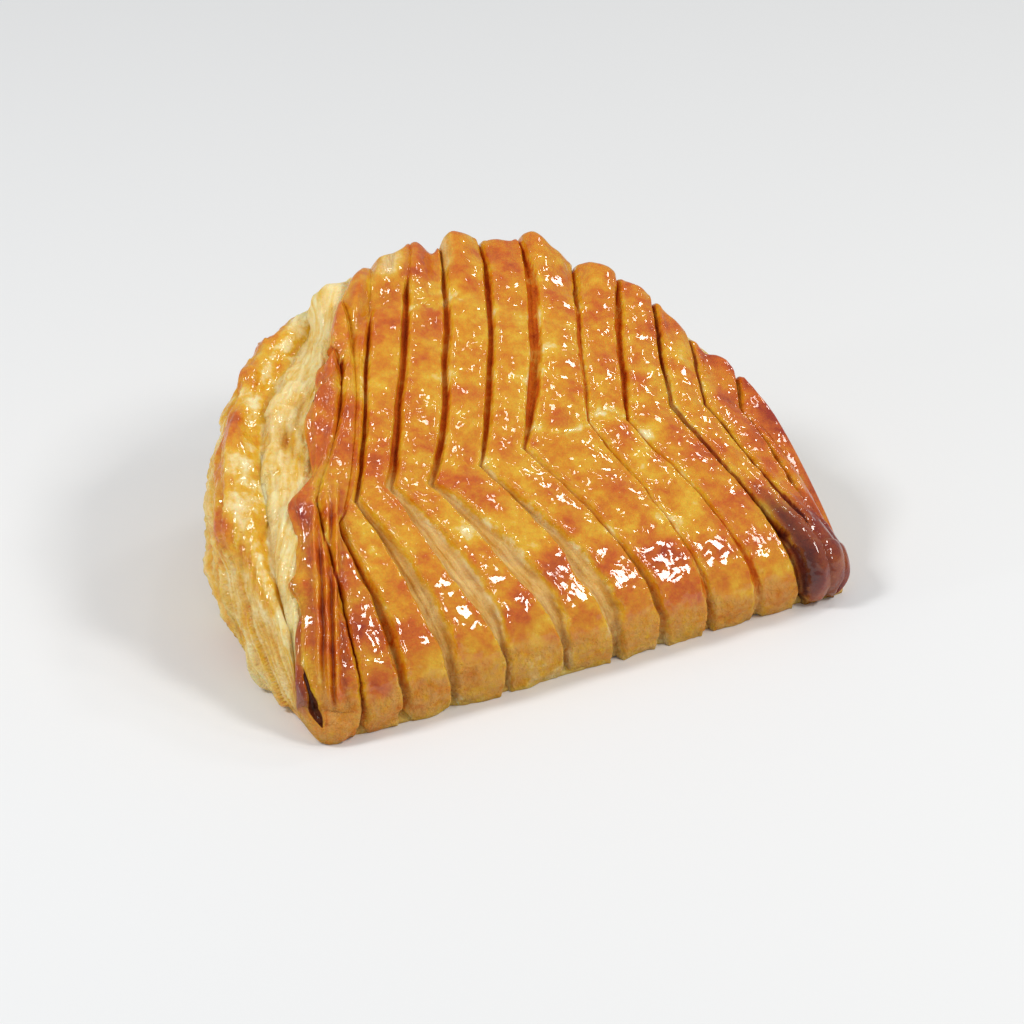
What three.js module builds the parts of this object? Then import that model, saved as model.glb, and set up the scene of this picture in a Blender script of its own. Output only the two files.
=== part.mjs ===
// Apple turnover: a half-oval of puff pastry folded over along a straight front edge.
// The scored crust rises from the fold to an arched rim, and the plies open out below the rim.
// Millimetres, +Z up. X runs along the fold, +Y from the fold to the rim.

import * as THREE from 'three';
import { LoftGeometry } from 'three/addons/geometries/LoftGeometry.js';
import { mergeVertices } from 'three/addons/utils/BufferGeometryUtils.js';

// Overall sizes
const OUTLINE_DEPTH = 99; // fold to the back of the outline
const OUTLINE_HALF_WIDTH = 73;
const OUTLINE_MIDDLE_X = 1; // the outline's arch stands a little right of the fold's middle
const OUTLINE_LEFT_SQUARENESS = 2.3; // superellipse exponents of the two halves
const OUTLINE_RIGHT_SQUARENESS = 2.22;
const CORNER_LEFT = 4; // how far the outline draws in at the fold's left end
const CORNER_LEFT_BEARING = 20; // and up to which bearing (degrees)
const RIM_HEIGHT = 62; // crust edge at the back
const RIM_LEFT_RISE = 0.42; // how soon the rim rises from either tip
const RIM_RIGHT_RISE = 0.76;
const TIP_HEIGHT = 15; // the two blunt ends of the fold
const TIP_DEPTH = 9;

// Each slash: where it crosses the fold and the midrib (x), the midrib's place along the crust, the bearing of its
// end on the rim (degrees), how far it bows out above the midrib, and the stretch of the crust that it runs over
const SLASHES = [
  { fold: -70, kink: -70, kinkAt: 0.62, rim: 0, bow: 0, from: 0, to: 0 },
  { fold: -66.5, kink: -67, kinkAt: 0.66, rim: 2, bow: 0, from: 0.16, to: 0.62 },
  { fold: -57, kink: -49.5, kinkAt: 0.685, rim: 62, bow: 5, from: 0, to: 1 },
  { fold: -46.2, kink: -46.5, kinkAt: 0.61, rim: 74, bow: 5, from: 0, to: 0.64 },
  { fold: -33.4, kink: -40, kinkAt: 0.618, rim: 85, bow: 2.5, from: 0, to: 1 },
  { fold: -19.9, kink: -31.2, kinkAt: 0.615, rim: 92.5, bow: 2.6, from: 0, to: 1 },
  { fold: -4.4, kink: -20.9, kinkAt: 0.605, rim: 100, bow: 3, from: 0, to: 1 },
  { fold: 8.8, kink: -8, kinkAt: 0.618, rim: 109, bow: 1.6, from: 0, to: 1 },
  { fold: 20.6, kink: 4.4, kinkAt: 0.638, rim: 117.5, bow: 1.2, from: 0, to: 1 },
  { fold: 33, kink: 22.5, kinkAt: 0.675, rim: 126.5, bow: 0.3, from: 0, to: 1 },
  { fold: 45.8, kink: 32.7, kinkAt: 0.69, rim: 134.5, bow: 0.3, from: 0, to: 1 },
  { fold: 57.4, kink: 45, kinkAt: 0.73, rim: 142, bow: 0.5, from: 0, to: 1 },
  { fold: 64, kink: 53.5, kinkAt: 0.77, rim: 150, bow: 0.5, from: 0.2, to: 1 },
  { fold: 68, kink: 62.5, kinkAt: 0.86, rim: 160, bow: 0.5, from: 0.26, to: 1 },
  { fold: 72, kink: 72, kinkAt: 0.9, rim: 180, bow: 0, from: 0, to: 0 },
];

// Each rib's end: how far it stands above the smooth rim at its left side and by its middle, and its columns
const RIB_ENDS = [
  { left: 0, middle: 0, columns: 2 },
  { left: 0.5, middle: 0.6, columns: 14 },
  { left: 1, middle: 0.6, columns: 4 },
  { left: 0.4, middle: 0.3, columns: 4 },
  { left: -0.5, middle: -2, columns: 4 },
  { left: 2.7, middle: -4, columns: 4 },
  { left: 0.7, middle: -0.8, columns: 4 },
  { left: -1.2, middle: -1.8, columns: 4 },
  { left: 2, middle: -2, columns: 4 },
  { left: -0.8, middle: 0.7, columns: 4 },
  { left: 0.8, middle: -0.2, columns: 4 },
  { left: -1.8, middle: -2.2, columns: 4 },
  { left: -2.5, middle: -1, columns: 4 },
  { left: 0.5, middle: 0, columns: 4 },
];
const END_LEFT_PLACE = 0.16; // where in a rib the two heights hold
const END_MIDDLE_PLACE = 0.6;

// The left strap's outer edge: places along it, from where it leaves the tip, and the rim's bearings there (degrees)
const STRAP_PLACES = [0.44, 0.5, 0.6, 0.7, 0.8, 0.9, 0.95, 1];
const STRAP_BEARINGS = [2, 5, 10, 18, 30, 43, 52, 62];
const STRAP_FIRST = 1; // the slashes on either side of the strap
const STRAP_LAST = 2;
const STRAP_TURN = 1.2; // how late the strap's lines turn out to its edge
const STRAP_TURN_GROWTH = 1.5; // and how much later towards the slash

// Rounded tabs on the strap's edge: bearing and half width (degrees), and reach
const TABS = [
  { bearing: 4.5, halfWidth: 1.2, reach: 2.3 },
  { bearing: 17, halfWidth: 4.5, reach: 4.6 },
  { bearing: 38, halfWidth: 5, reach: 1.8 },
  { bearing: 52, halfWidth: 3.5, reach: 1.8 },
];
const TAB_LIFT = 0.3; // rise of a tab for its reach

// Crust from the fold's foot to the rim: depth as a share of the rim's depth, height as a share of its height
const CRUST_PROFILE = [
  [-0.034, 0],
  [-0.05, 0.13],
  [-0.02, 0.275],
  [0.065, 0.4],
  [0.2, 0.525],
  [0.36, 0.645],
  [0.6, 0.81],
  [0.82, 0.925],
  [1, 1],
];
const SLASH_BEND = 2.3; // how late the lower slashes turn down to the fold

// Side below the rim: reach outwards as a share of the flare, height as a share of the rim's height
const SIDE_PROFILE = [
  [0, 1],
  [0.06, 0.93],
  [0.32, 0.935],
  [0.5, 0.86],
  [0.7, 0.905],
  [0.9, 0.87],
  [1, 0.66],
  [1.02, 0.48],
  [0.98, 0.27],
  [0.9, 0.1],
  [0.74, 0],
];

// Flare: how far the opened plies stand out beyond the crust's edge, most of all on the left (bearings in degrees)
const FLARE_ALL_ROUND = 7;
const FLARE_LEFT = 19;
const FLARE_LEFT_FIRST_SHARE = 0.2; // what stands out right beside the tip
const FLARE_LEFT_TIP_BEARING = 2;
const FLARE_LEFT_FULL_BEARING = 22;
const FLARE_LEFT_FADE = [52, 96];

// Relief
const SLASH_DEPTHS = [1.6, 2.6, 4, 4.6, 4.6, 4.2, 3.4, 3, 2.6]; // along the crust profile's stations
const SLASH_FLOOR = 0.05; // half the width of the slash's floor, in ribs
const SLASH_MOUTH = 0.15; // half the width of its mouth, in ribs
const SLASH_RUN_OUT = 0.3; // stretch of the side over which a slash fades
const SLASH_TAPER = 0.08; // stretch of the crust over which a short slash starts or ends
const RIB_CROWN = 1.1; // height of the rib's middle over its edges
const RIB_CROWN_SPREAD = 0.6; // how much that height differs from rib to rib
const RIB_SEED = 11;
const SCALLOP = 1.6; // how far a rib's rounded end stands out of the rim
const END_START = 0.8; // station where the rib ends start to stand up
const END_RUN_OUT = 0.4; // stretch of the side over which they fade
const END_OUT = 0.45; // how far a rib's end leans out for its height
const END_UP = 0.9; // and how far it rises
const SCALLOP_LIFT = 0.5; // rise of a rounded end for its reach
const KNOB = 2.4; // bulge of the right tip
const KNOB_RIBS = [11.1, 11.9]; // ribs over which it grows
const KNOB_STATION = 0.3; // its middle along the crust
const KNOB_SPREAD = 0.2;
const PLY_RELIEF = 0.8; // height of the ply edges on the side
const PLY_WAVE = 1.9; // how fast that height changes from rib to rib
const PLY_EVEN = 0.7; // share of that height that is the same all round
const PLY_RISE = 0.5; // how far a ply's edge stands out, for what it is tucked in

// Mesh
const CRUST_ROWS = 24;
const SIDE_ROWS = 16;
const ROWS_PER_PLY = 3;
const BOTTOM_ROWS = 4;
const TIP_ROUNDING_LEFT = 5; // length of the fold over which the body closes to a point
const TIP_ROUNDING_RIGHT = 3;
const TIP_COLUMNS = [0, 0.02, 0.09];
const NORMAL_STEP = 0.02; // steps for the slopes of the body and of the strap
const STRAP_STEP = 0.004;
const MERGE_TOLERANCE = 0.001;

const CRUST_COLOUR = 0xd9923a;
const CRUST_ROUGHNESS = 0.4;

const RIB_COUNT = SLASHES.length - 1;

const { smoothstep, clamp, lerp, degToRad, seededRandom } = THREE.MathUtils;

// Smooth curve through values at equal steps
function curveThrough(points) {
  return new THREE.CatmullRomCurve3(points, false, 'catmullrom', 0.5);
}

const slashCurve = curveThrough(SLASHES.map((slash) => new THREE.Vector3(slash.fold, slash.kink, slash.rim)));
const bendCurve = curveThrough(SLASHES.map((slash) => new THREE.Vector3(slash.kinkAt, slash.bow, 0)));
const crustCurve = curveThrough(CRUST_PROFILE.map(([depth, height]) => new THREE.Vector3(depth, height, 0)));
const sideCurve = curveThrough(SIDE_PROFILE.map(([reach, height]) => new THREE.Vector3(reach, height, 0)));
const depthCurve = curveThrough(SLASH_DEPTHS.map((depth, i) => new THREE.Vector3(i, depth, 0)));

// Bell of height 1 around the middle
function bell(value, middle, width) {
  return Math.exp(-(((value - middle) / width) ** 2));
}

// Straight lines between the values at given places
function between(place, places, values) {
  const last = places.length - 1;
  if (place <= places[0]) return values[0];
  if (place >= places[last]) return values[last];
  const next = places.findIndex((stop) => stop > place);
  return lerp(values[next - 1], values[next], (place - places[next - 1]) / (places[next] - places[next - 1]));
}

// The rim at a bearing, from the left tip over the back to the right one: a half superellipse, less the flare
function rimAt(degrees) {
  const along = Math.cos(degToRad(degrees));
  const out = Math.sin(degToRad(degrees));
  const isLeft = along > 0;
  const power = 2 / (isLeft ? OUTLINE_LEFT_SQUARENESS : OUTLINE_RIGHT_SQUARENESS);
  const rise = isLeft ? (degrees / 90) ** RIM_LEFT_RISE : out ** RIM_RIGHT_RISE;
  const besideTip = FLARE_LEFT_FIRST_SHARE * Math.min(degrees / FLARE_LEFT_TIP_BEARING, 1);
  const grown = (1 - FLARE_LEFT_FIRST_SHARE) * smoothstep(degrees, 0, FLARE_LEFT_FULL_BEARING);
  const leftShare = (besideTip + grown) * (1 - smoothstep(degrees, ...FLARE_LEFT_FADE));
  const flare = FLARE_ALL_ROUND * Math.sqrt(out) + FLARE_LEFT * leftShare;
  const corner = CORNER_LEFT * (1 - smoothstep(degrees, 0, CORNER_LEFT_BEARING));
  const outlineX = OUTLINE_MIDDLE_X - Math.sign(along) * OUTLINE_HALF_WIDTH * Math.abs(along) ** power + corner;
  const outlineY = TIP_DEPTH + (OUTLINE_DEPTH - TIP_DEPTH) * out ** power;
  return {
    degrees,
    rimX: outlineX + along * flare,
    rimY: outlineY - out * flare,
    rimZ: TIP_HEIGHT + (RIM_HEIGHT - TIP_HEIGHT) * rise,
    flare,
    outX: -along,
    outY: out,
  };
}

// Everything that holds for one line across the pastry, at a place counted in ribs from the left tip
function ribLine(rib) {
  const slash = slashCurve.getPoint(rib / RIB_COUNT);
  const bend = bendCurve.getPoint(rib / RIB_COUNT);
  return { ...rimAt(clamp(slash.z, 0, 180)), foldX: slash.x, kinkX: slash.y, kinkAt: bend.x, bow: bend.y };
}

// Foot of the fold, which stands a little in front of the crust's straight edge
function foldFoot(line) {
  return new THREE.Vector3(line.foldX, CRUST_PROFILE[0][0] * OUTLINE_DEPTH, 0);
}

function crustPoint(line, share) {
  const profile = crustCurve.getPoint(share);
  const lower = Math.min(share / line.kinkAt, 1) ** SLASH_BEND;
  const upper = Math.max((share - line.kinkAt) / (1 - line.kinkAt), 0);
  const course = line.foldX + (line.kinkX - line.foldX) * lower + (line.rimX - line.kinkX) * upper;
  const depth = profile.x < 0 ? OUTLINE_DEPTH : line.rimY;
  return new THREE.Vector3(course + line.bow * 4 * upper * (1 - upper), profile.x * depth, profile.y * line.rimZ);
}

function isStrap(rib, station) {
  return rib >= STRAP_FIRST && rib < STRAP_LAST && station <= 1;
}

// Where a place on the left strap lies: along the strap, and inwards from its edge to the second slash. Each line
// keeps its share of the strap's width and then turns out to the edge, the later the nearer it is to the slash.
function strapPlace(rib, station) {
  const share = rib - STRAP_FIRST;
  const up = station * between(ribLine(rib).degrees, STRAP_BEARINGS, STRAP_PLACES);
  const turn = STRAP_TURN / (1 - share) ** STRAP_TURN_GROWTH;
  return { up, inward: share * (1 - station ** turn) };
}

// The strap's two sides: its edge, which climbs the tip and then follows the rim with its tabs, and the slash
function strapSides(up) {
  const slash = crustPoint(ribLine(STRAP_LAST), clamp(up, 0, 1));
  if (up < STRAP_PLACES[0]) {
    return { edge: crustPoint(ribLine(STRAP_FIRST), Math.max(up, 0) / STRAP_PLACES[0]), slash };
  }
  const rim = rimAt(between(up, STRAP_PLACES, STRAP_BEARINGS));
  let tab = 0;
  for (const { bearing, halfWidth, reach } of TABS) tab += reach * bell(rim.degrees, bearing, halfWidth);
  const edge = new THREE.Vector3(rim.rimX + rim.outX * tab, rim.rimY + rim.outY * tab, rim.rimZ + TAB_LIFT * tab);
  return { edge, slash };
}

function strapPoint({ up, inward }) {
  const { edge, slash } = strapSides(up);
  return edge.lerp(slash, inward);
}

function strapNormal({ up, inward }) {
  const { edge, slash } = strapSides(up);
  const onward = strapPoint({ up: up + STRAP_STEP, inward }).sub(strapPoint({ up: up - STRAP_STEP, inward }));
  return slash.sub(edge).cross(onward).normalize();
}

function sidePoint(line, share) {
  const profile = sideCurve.getPoint(share);
  const reach = profile.x * line.flare;
  return new THREE.Vector3(
    line.rimX + line.outX * reach,
    line.rimY + line.outY * reach,
    Math.max(profile.y, 0) * line.rimZ,
  );
}

// The smooth body: stations 0 to 1 cross the crust, 1 to 2 go down the side, 2 to 3 come back under it
function bodyPoint(rib, station) {
  if (isStrap(rib, station)) return strapPoint(strapPlace(rib, Math.max(station, 0)));
  const line = ribLine(clamp(rib, 0, RIB_COUNT));
  if (station <= 1) return crustPoint(line, Math.max(station, 0));
  if (station <= 2) return sidePoint(line, station - 1);
  return sidePoint(line, 1).lerp(foldFoot(line), station - 2);
}

function bodyNormal(rib, station) {
  if (isStrap(rib, station)) return strapNormal(strapPlace(rib, station));
  const along = bodyPoint(rib + NORMAL_STEP, station).sub(bodyPoint(rib - NORMAL_STEP, station));
  const across = bodyPoint(rib, station + NORMAL_STEP).sub(bodyPoint(rib, station - NORMAL_STEP));
  return along.cross(across).normalize();
}

// Distance from the nearest slash, in ribs
function slashDistance(rib, station) {
  if (!isStrap(rib, station)) return Math.abs(rib - Math.round(rib));
  const { inward } = strapPlace(rib, station);
  return Math.round(rib) === STRAP_LAST ? 1 - inward : inward;
}

// Slash: full depth on its floor, none beyond its mouth, fading where it starts and ends
function slashDepth(rib, station) {
  const { from, to } = SLASHES[Math.round(rib)];
  if (to === 0) return 0;
  const share = 1 - smoothstep(slashDistance(rib, station), SLASH_FLOOR, SLASH_MOUTH);
  const start = from === 0 ? 1 : smoothstep(station, from, from + SLASH_TAPER);
  const runOut = to === 1 ? [1, 1 + SLASH_RUN_OUT] : [to - SLASH_TAPER, to];
  const end = 1 - smoothstep(station, ...runOut);
  return share * start * end * depthCurve.getPoint(Math.min(station, 1)).y;
}

// Arch from 0 at either slash to 1 in the middle of the rib
function ribArch(rib) {
  const share = rib - Math.floor(rib);
  return 4 * share * (1 - share);
}

// Crown of a rib, a little different on each
function ribCrown(rib) {
  const draw = seededRandom(RIB_SEED + Math.floor(rib));
  return RIB_CROWN * (1 + RIB_CROWN_SPREAD * (2 * draw - 1)) * ribArch(rib);
}

// Height of the rib ends over the smooth rim: steps between the two heights of each rib
function endHeight(rib) {
  const first = Math.min(Math.floor(rib), RIB_COUNT - 1);
  const share = rib - first;
  const { left, middle } = RIB_ENDS[first];
  const before = RIB_ENDS[Math.max(first - 1, 0)].middle;
  if (share < END_LEFT_PLACE) return lerp(before, left, smoothstep(share, END_MIDDLE_PLACE - 1, END_LEFT_PLACE));
  if (share < END_MIDDLE_PLACE) return lerp(left, middle, smoothstep(share, END_LEFT_PLACE, END_MIDDLE_PLACE));
  const after = RIB_ENDS[Math.min(first + 1, RIB_COUNT - 1)].left;
  return lerp(middle, after, smoothstep(share, END_MIDDLE_PLACE, 1 + END_LEFT_PLACE));
}

// How much of the rib ends shows: it grows towards the rim and fades down the side
function endShare(station) {
  return Math.min(smoothstep(station, END_START, 1), 1 - smoothstep(station, 1, 1 + END_RUN_OUT));
}

// Bulge of the right tip
function knobHeight(rib, station) {
  return KNOB * smoothstep(rib, ...KNOB_RIBS) * bell(station, KNOB_STATION, KNOB_SPREAD);
}

// Ply edges: three rows to a ply, the third tucked in; a slow wave makes them stand out unevenly
function plyRelief(rib, row) {
  const uneven = PLY_EVEN + (1 - PLY_EVEN) * Math.sin(PLY_WAVE * rib + row);
  const isTucked = row % ROWS_PER_PLY === ROWS_PER_PLY - 1;
  return PLY_RELIEF * uneven * (isTucked ? -1 : PLY_RISE);
}

function reliefPoint(rib, station, sideRow) {
  const point = bodyPoint(rib, station);
  if (station === 0 || station >= 2) return point;
  const line = ribLine(rib);
  const normal = bodyNormal(rib, station);
  const ends = Math.min(1, rib, RIB_COUNT - rib);
  const crown = station < 1 ? ribCrown(rib) + knobHeight(rib, station) : 0;
  const ply = sideRow > 0 ? plyRelief(rib, sideRow) : 0;
  point.addScaledVector(normal, ends * (crown + ply - slashDepth(rib, station)));
  const share = ends * endShare(station);
  const scallop = share * SCALLOP * Math.sqrt(ribArch(rib));
  const height = share * endHeight(rib);
  point.x += line.outX * (scallop + END_OUT * height);
  point.y += line.outY * (scallop + END_OUT * height);
  point.z += SCALLOP_LIFT * scallop + END_UP * height;
  return point;
}

// Stations round one section, with the row number on the side where there is one
function sectionStations() {
  const stations = [];
  for (let row = 0; row < CRUST_ROWS; row++) stations.push({ at: row / CRUST_ROWS, sideRow: 0 });
  for (let row = 0; row < SIDE_ROWS; row++) stations.push({ at: 1 + row / SIDE_ROWS, sideRow: row });
  for (let row = 0; row < BOTTOM_ROWS; row++) stations.push({ at: 2 + row / BOTTOM_ROWS, sideRow: 0 });
  return stations;
}

// Columns along the fold, close together at the slashes and at the two tips
function bodyColumns() {
  const columns = [...TIP_COLUMNS];
  for (let rib = 0; rib < RIB_COUNT; rib++) {
    const steps = RIB_ENDS[rib].columns;
    columns.push(rib, rib + SLASH_FLOOR, rib + 1 - SLASH_FLOOR);
    for (let step = 0; step <= steps; step++) {
      columns.push(lerp(rib + SLASH_MOUTH, rib + 1 - SLASH_MOUTH, step / steps));
    }
  }
  columns.push(...TIP_COLUMNS.map((share) => RIB_COUNT - share));
  return [...new Set(columns)].sort((a, b) => a - b);
}

// One closed section; near the tips it shrinks about its own middle, as a quarter circle does
function bodySection(rib) {
  const points = sectionStations().map(({ at, sideRow }) => reliefPoint(rib, at, sideRow));
  const { foldX } = ribLine(rib);
  const toLeft = (foldX - SLASHES[0].fold) / TIP_ROUNDING_LEFT;
  const toTip = Math.min(toLeft, (SLASHES[RIB_COUNT].fold - foldX) / TIP_ROUNDING_RIGHT);
  if (toTip >= 1) return points;
  const middle = new THREE.Box3().setFromPoints(points).getCenter(new THREE.Vector3());
  const size = Math.sqrt(1 - (1 - Math.max(toTip, 0)) ** 2);
  return points.map((point) => point.sub(middle).multiplyScalar(size).add(middle));
}

// Joins the loft's seam and its two end points, and drops the triangles that shrink to nothing there
function closedGeometry(lofted) {
  const open = new THREE.BufferGeometry();
  open.setAttribute('position', lofted.getAttribute('position'));
  open.setIndex(lofted.getIndex());
  const closed = mergeVertices(open, MERGE_TOLERANCE);
  const corners = closed.getIndex().array;
  const kept = [];
  for (let i = 0; i < corners.length; i += 3) {
    const triangle = [corners[i], corners[i + 1], corners[i + 2]];
    if (new Set(triangle).size === 3) kept.push(...triangle);
  }
  closed.setIndex(kept);
  return closed;
}

function turnoverGeometry() {
  const sections = bodyColumns().map((rib) => bodySection(rib).reverse());
  const geometry = closedGeometry(new LoftGeometry(sections));
  geometry.computeBoundingBox();
  const middle = geometry.boundingBox.getCenter(new THREE.Vector3());
  geometry.translate(-middle.x, -middle.y, -geometry.boundingBox.min.z);
  geometry.computeVertexNormals();
  return geometry;
}

const crustMaterial = new THREE.MeshStandardMaterial({
  color: CRUST_COLOUR,
  roughness: CRUST_ROUGHNESS,
  metalness: 0,
});
const turnover = new THREE.Mesh(turnoverGeometry(), crustMaterial);
turnover.name = 'turnover';

const appleTurnover = new THREE.Group();
appleTurnover.add(turnover);

export default appleTurnover;
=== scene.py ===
"""Apple turnover: a leaf-scored, egg-glazed crust over puff pastry plies that open below its rim.

Both are surfaces of two parameters. The first, rib, counts the ribs between the slashes from the left tip
to the right one. The second is the station on the crust, from the fold's foot (0) to the rim (1), and on the
side the share of the way down, from under the rim (0) to the foot (1).
"""
import math
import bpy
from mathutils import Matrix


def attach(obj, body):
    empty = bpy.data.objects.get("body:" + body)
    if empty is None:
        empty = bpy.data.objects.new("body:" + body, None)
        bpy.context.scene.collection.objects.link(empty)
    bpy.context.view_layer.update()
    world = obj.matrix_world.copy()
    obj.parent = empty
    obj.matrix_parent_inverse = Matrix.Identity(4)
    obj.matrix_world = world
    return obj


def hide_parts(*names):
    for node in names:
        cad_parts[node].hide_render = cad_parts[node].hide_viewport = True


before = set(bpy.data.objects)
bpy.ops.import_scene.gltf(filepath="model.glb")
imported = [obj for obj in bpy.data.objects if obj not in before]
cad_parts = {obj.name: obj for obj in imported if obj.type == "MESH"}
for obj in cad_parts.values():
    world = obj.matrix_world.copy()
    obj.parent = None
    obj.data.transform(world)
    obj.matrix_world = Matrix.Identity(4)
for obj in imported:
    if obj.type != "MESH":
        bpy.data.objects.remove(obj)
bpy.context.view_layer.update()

from types import SimpleNamespace

import bpy
import numpy as np
from bpy.props import FloatProperty, FloatVectorProperty, PointerProperty
from mathutils import Vector

bl_info = {
    "name": "Apple Turnover",
    "version": (1, 0, 0),
    "blender": (4, 5, 0),
    "location": "3D View > Sidebar > Turnover",
    "description": "Builds a scored puff pastry turnover on its packed frame",
    "category": "Add Mesh",
}

MM = 0.001
NODE = "turnover"
BODY = "root"

# Where the middle of the fold's foot lies in the frame
FOLD_PLACE = np.array([-1.78, -46.24, 0]) * MM

# Each slash, from the left tip to the right: where it crosses the fold and the midrib (x, mm), the midrib's
# place along the crust, the bearing of its end on the rim (degrees) and its bow above the midrib (mm); and
# the power of its bend below
SLASH_FOLD = MM * np.array(
    [-70, -66.5, -57, -46.2, -33.4, -19.9, -4.4, 8.8, 20.6, 33, 45.8, 57.4, 64, 68, 72]
)
SLASH_KINK = MM * np.array(
    [-70, -67, -49.5, -46.5, -40, -31.2, -20.9, -8, 4.4, 22.5, 32.7, 45, 53.5, 62.5, 72]
)
KINK_STATION = np.array(
    [0.62, 0.66, 0.685, 0.61, 0.618, 0.615, 0.605, 0.618, 0.638, 0.675, 0.69, 0.73, 0.77, 0.86, 0.9]
)
SLASH_RIM = np.array([0, 2, 62, 74, 85, 92.5, 98.4, 106.4, 114.7, 125.3, 134.5, 142, 150, 160, 180])
SLASH_BOW = MM * np.array([0, 0, 5, 5, 2.5, 2.6, 4.2, 4.3, 4.6, 1.1, 0.3, 0.5, 0.5, 0.5, 0])
SLASH_BEND = 2.3
RIB_COUNT = len(SLASH_FOLD) - 1

# Where each slash starts and ends along the crust; half its lens below the midrib (mm), the lens's place and
# length as shares of the way there, and how pale its dough is; and half its opening above the midrib (mm)
SLASH_START = np.array([0, 0.16, 0, 0, 0, 0, 0, 0, 0, 0, 0, 0, 0.36, 0.4, 0])
SLASH_END = np.array([0, 0.62, 1, 0.64, 0.91, 0.94, 1, 1, 1, 1, 1, 1, 1, 1, 0])
LENS_OPENING = MM * np.array([0, 1.0, 0.5, 1.1, 2.0, 2.7, 2.6, 2.5, 0.7, 0.8, 1.0, 1.2, 0.6, 0.6, 0])
LENS_PLACE = np.array([0, 0.4, 0.2, 0.5, 0.55, 0.65, 0.6, 0.48, 0.3, 0.28, 0.28, 0.3, 0.55, 0.6, 0])
LENS_LENGTH = np.array([1, 0.2, 0.2, 0.4, 0.34, 0.3, 0.32, 0.3, 0.3, 0.22, 0.22, 0.22, 0.3, 0.3, 1])
LENS_DOUGH = np.array([0, 0, 0, 0.25, 0.75, 1, 1, 1, 0.5, 0.15, 0.1, 0.05, 0, 0, 0])
UPPER_OPENING = MM * np.array([0, 0, 0.35, 0, 0.3, 0.65, 0.6, 0.6, 1.1, 0.5, 0.7, 0.3, 0.3, 0.3, 0])
THIN_OPENING = 0.22 * MM
FOOT_OPENING = 0.8 * MM

# The slashes' depths at equal steps along the crust, shoulders, beads and floors; and cracks across ribs:
# first and last rib place, and station
SLASH_DEPTHS = MM * np.array([1.3, 1.5, 1.8, 2.0, 1.6, 1.1, 0.8, 0.75, 0.8])
SLASH_ROUNDING = 1.1 * MM
SLASH_BEAD = 0.4 * MM
FLOOR_RELIEF = 0.4 * MM
CRACKS = ((5.05, 6.5, 0.872), (8.0, 9.0, 0.66), (9.0, 10.0, 0.695))
CRACK_WIDTH = 0.0045
CRACK_DEPTH = 0.5 * MM

# The rib ends: places on the rim, counted in ribs, with its rise there (mm); the shares of it that move the
# rim out and up, and the plies up; and torn, pale steps: place, half width and share
END_STOPS = np.array(
    [
        (0, 0), (1.16, 0.5), (2.16, 1.0), (2.6, 0.6), (3.6, 0.3), (4.16, -0.5), (4.55, -2.0),
        (5.03, 0.5), (5.6, -4.2), (6.3, 0.6), (6.7, -0.3), (7.2, -1.2), (7.65, -1.6), (8.18, 2.0),
        (8.62, -1.2), (8.95, -1.9), (9.4, -0.5), (9.84, 0.4), (10.36, -0.6), (10.92, 0),
        (11.45, -2.1), (12.0, -1.8), (12.41, -3.8), (12.85, -0.3), (13.2, 0.5), (14, 0),
    ]
)
END_REACH = 0.45
END_LIFT = 0.9
PLIES_LIFT = 0.8
TORN_STEPS = ((4.42, 0.28, 1), (6.1, 0.16, 1))

# Ribs: random lift and tilt, rolled ends and their crease at the upper left, wrinkles, and the fold's grain
RIB_LIFT = 0.3 * MM
RIB_TILT = 0.6 * MM
END_ROLL = 2.2 * MM
END_CREASE = 0.8 * MM
FINE_WRINKLE = 0.12 * MM
FOLD_GRAIN = 0.3 * MM
FOOT_RAGGED = 0.8 * MM

# Tips: the left one's wrinkles, where the crust meets planes with this normal and these places on it (mm),
# and its lobe; the right one's knob; the rounding of both; and how the left corner is drawn back
WRINKLE_ACROSS = np.array([0.883, -0.469, 0.06])
WRINKLE_PLACES = (-56.6, -54.4, -52.4)
WRINKLE_WIDTH = 0.62 * MM
WRINKLE_RISE = 2.0 * MM
LOBE_RISE = 2.8 * MM
KNOB_RISE = 3.0 * MM
KNOB_NOTCH = 2.6 * MM
KNOB_TUCK = 3.2 * MM
LEFT_ROUNDING = 5 * MM
RIGHT_ROUNDING = 3 * MM
CORNER_REACH = 8 * MM
CORNER_DEPTH = 10 * MM
CORNER_DRAW = 3 * MM

# The left strap's outer edge: places along it, from where it leaves the tip, and the rim's bearings there
# (degrees); and the step along it that gives its direction
STRAP_PLACES = np.array([0.44, 0.5, 0.6, 0.7, 0.8, 0.9, 0.95, 1.0])
STRAP_BEARINGS = np.array([2.0, 5, 10, 18, 30, 43, 52, 62])
STRAP_STEP = 0.004

# Rounded tabs on the left rim: bearing, half width (degrees), share of the longest reach; and rise by reach
TABS = ((4.5, 1.2, 0.5), (17, 4.5, 0.9), (38, 4.5, 0.25), (45.5, 3, -0.2), (53, 3.2, 0.25))
TAB_LIFT = 0.3

# Cream bulges, a pit and brown bumps of the side: bearing, share of the way down, rise (mm), half width
# (degrees), half length (share of the way down) and how much browner it is
SIDE_FEATURES = (
    (76, 0.22, 4.6, 5.5, 0.16, -0.32),
    (9, 0.1, 2.0, 4.0, 0.1, -0.1),
    (1.9, 0.5, 1.6, 1.0, 0.28, -0.3),
    (7, 0.86, 1.8, 2.6, 0.07, -0.2),
    (36, 0.21, -2.4, 3.5, 0.05, 0.4),
    (53, 0.57, 2.4, 3.0, 0.05, 0.5),
    (37, 0.54, 2.2, 4.5, 0.045, 0.5),
    (62, 0.6, 1.4, 3.0, 0.05, 0.3),
    (18, 0.66, 1.2, 3.0, 0.04, 0.35),
)

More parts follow.
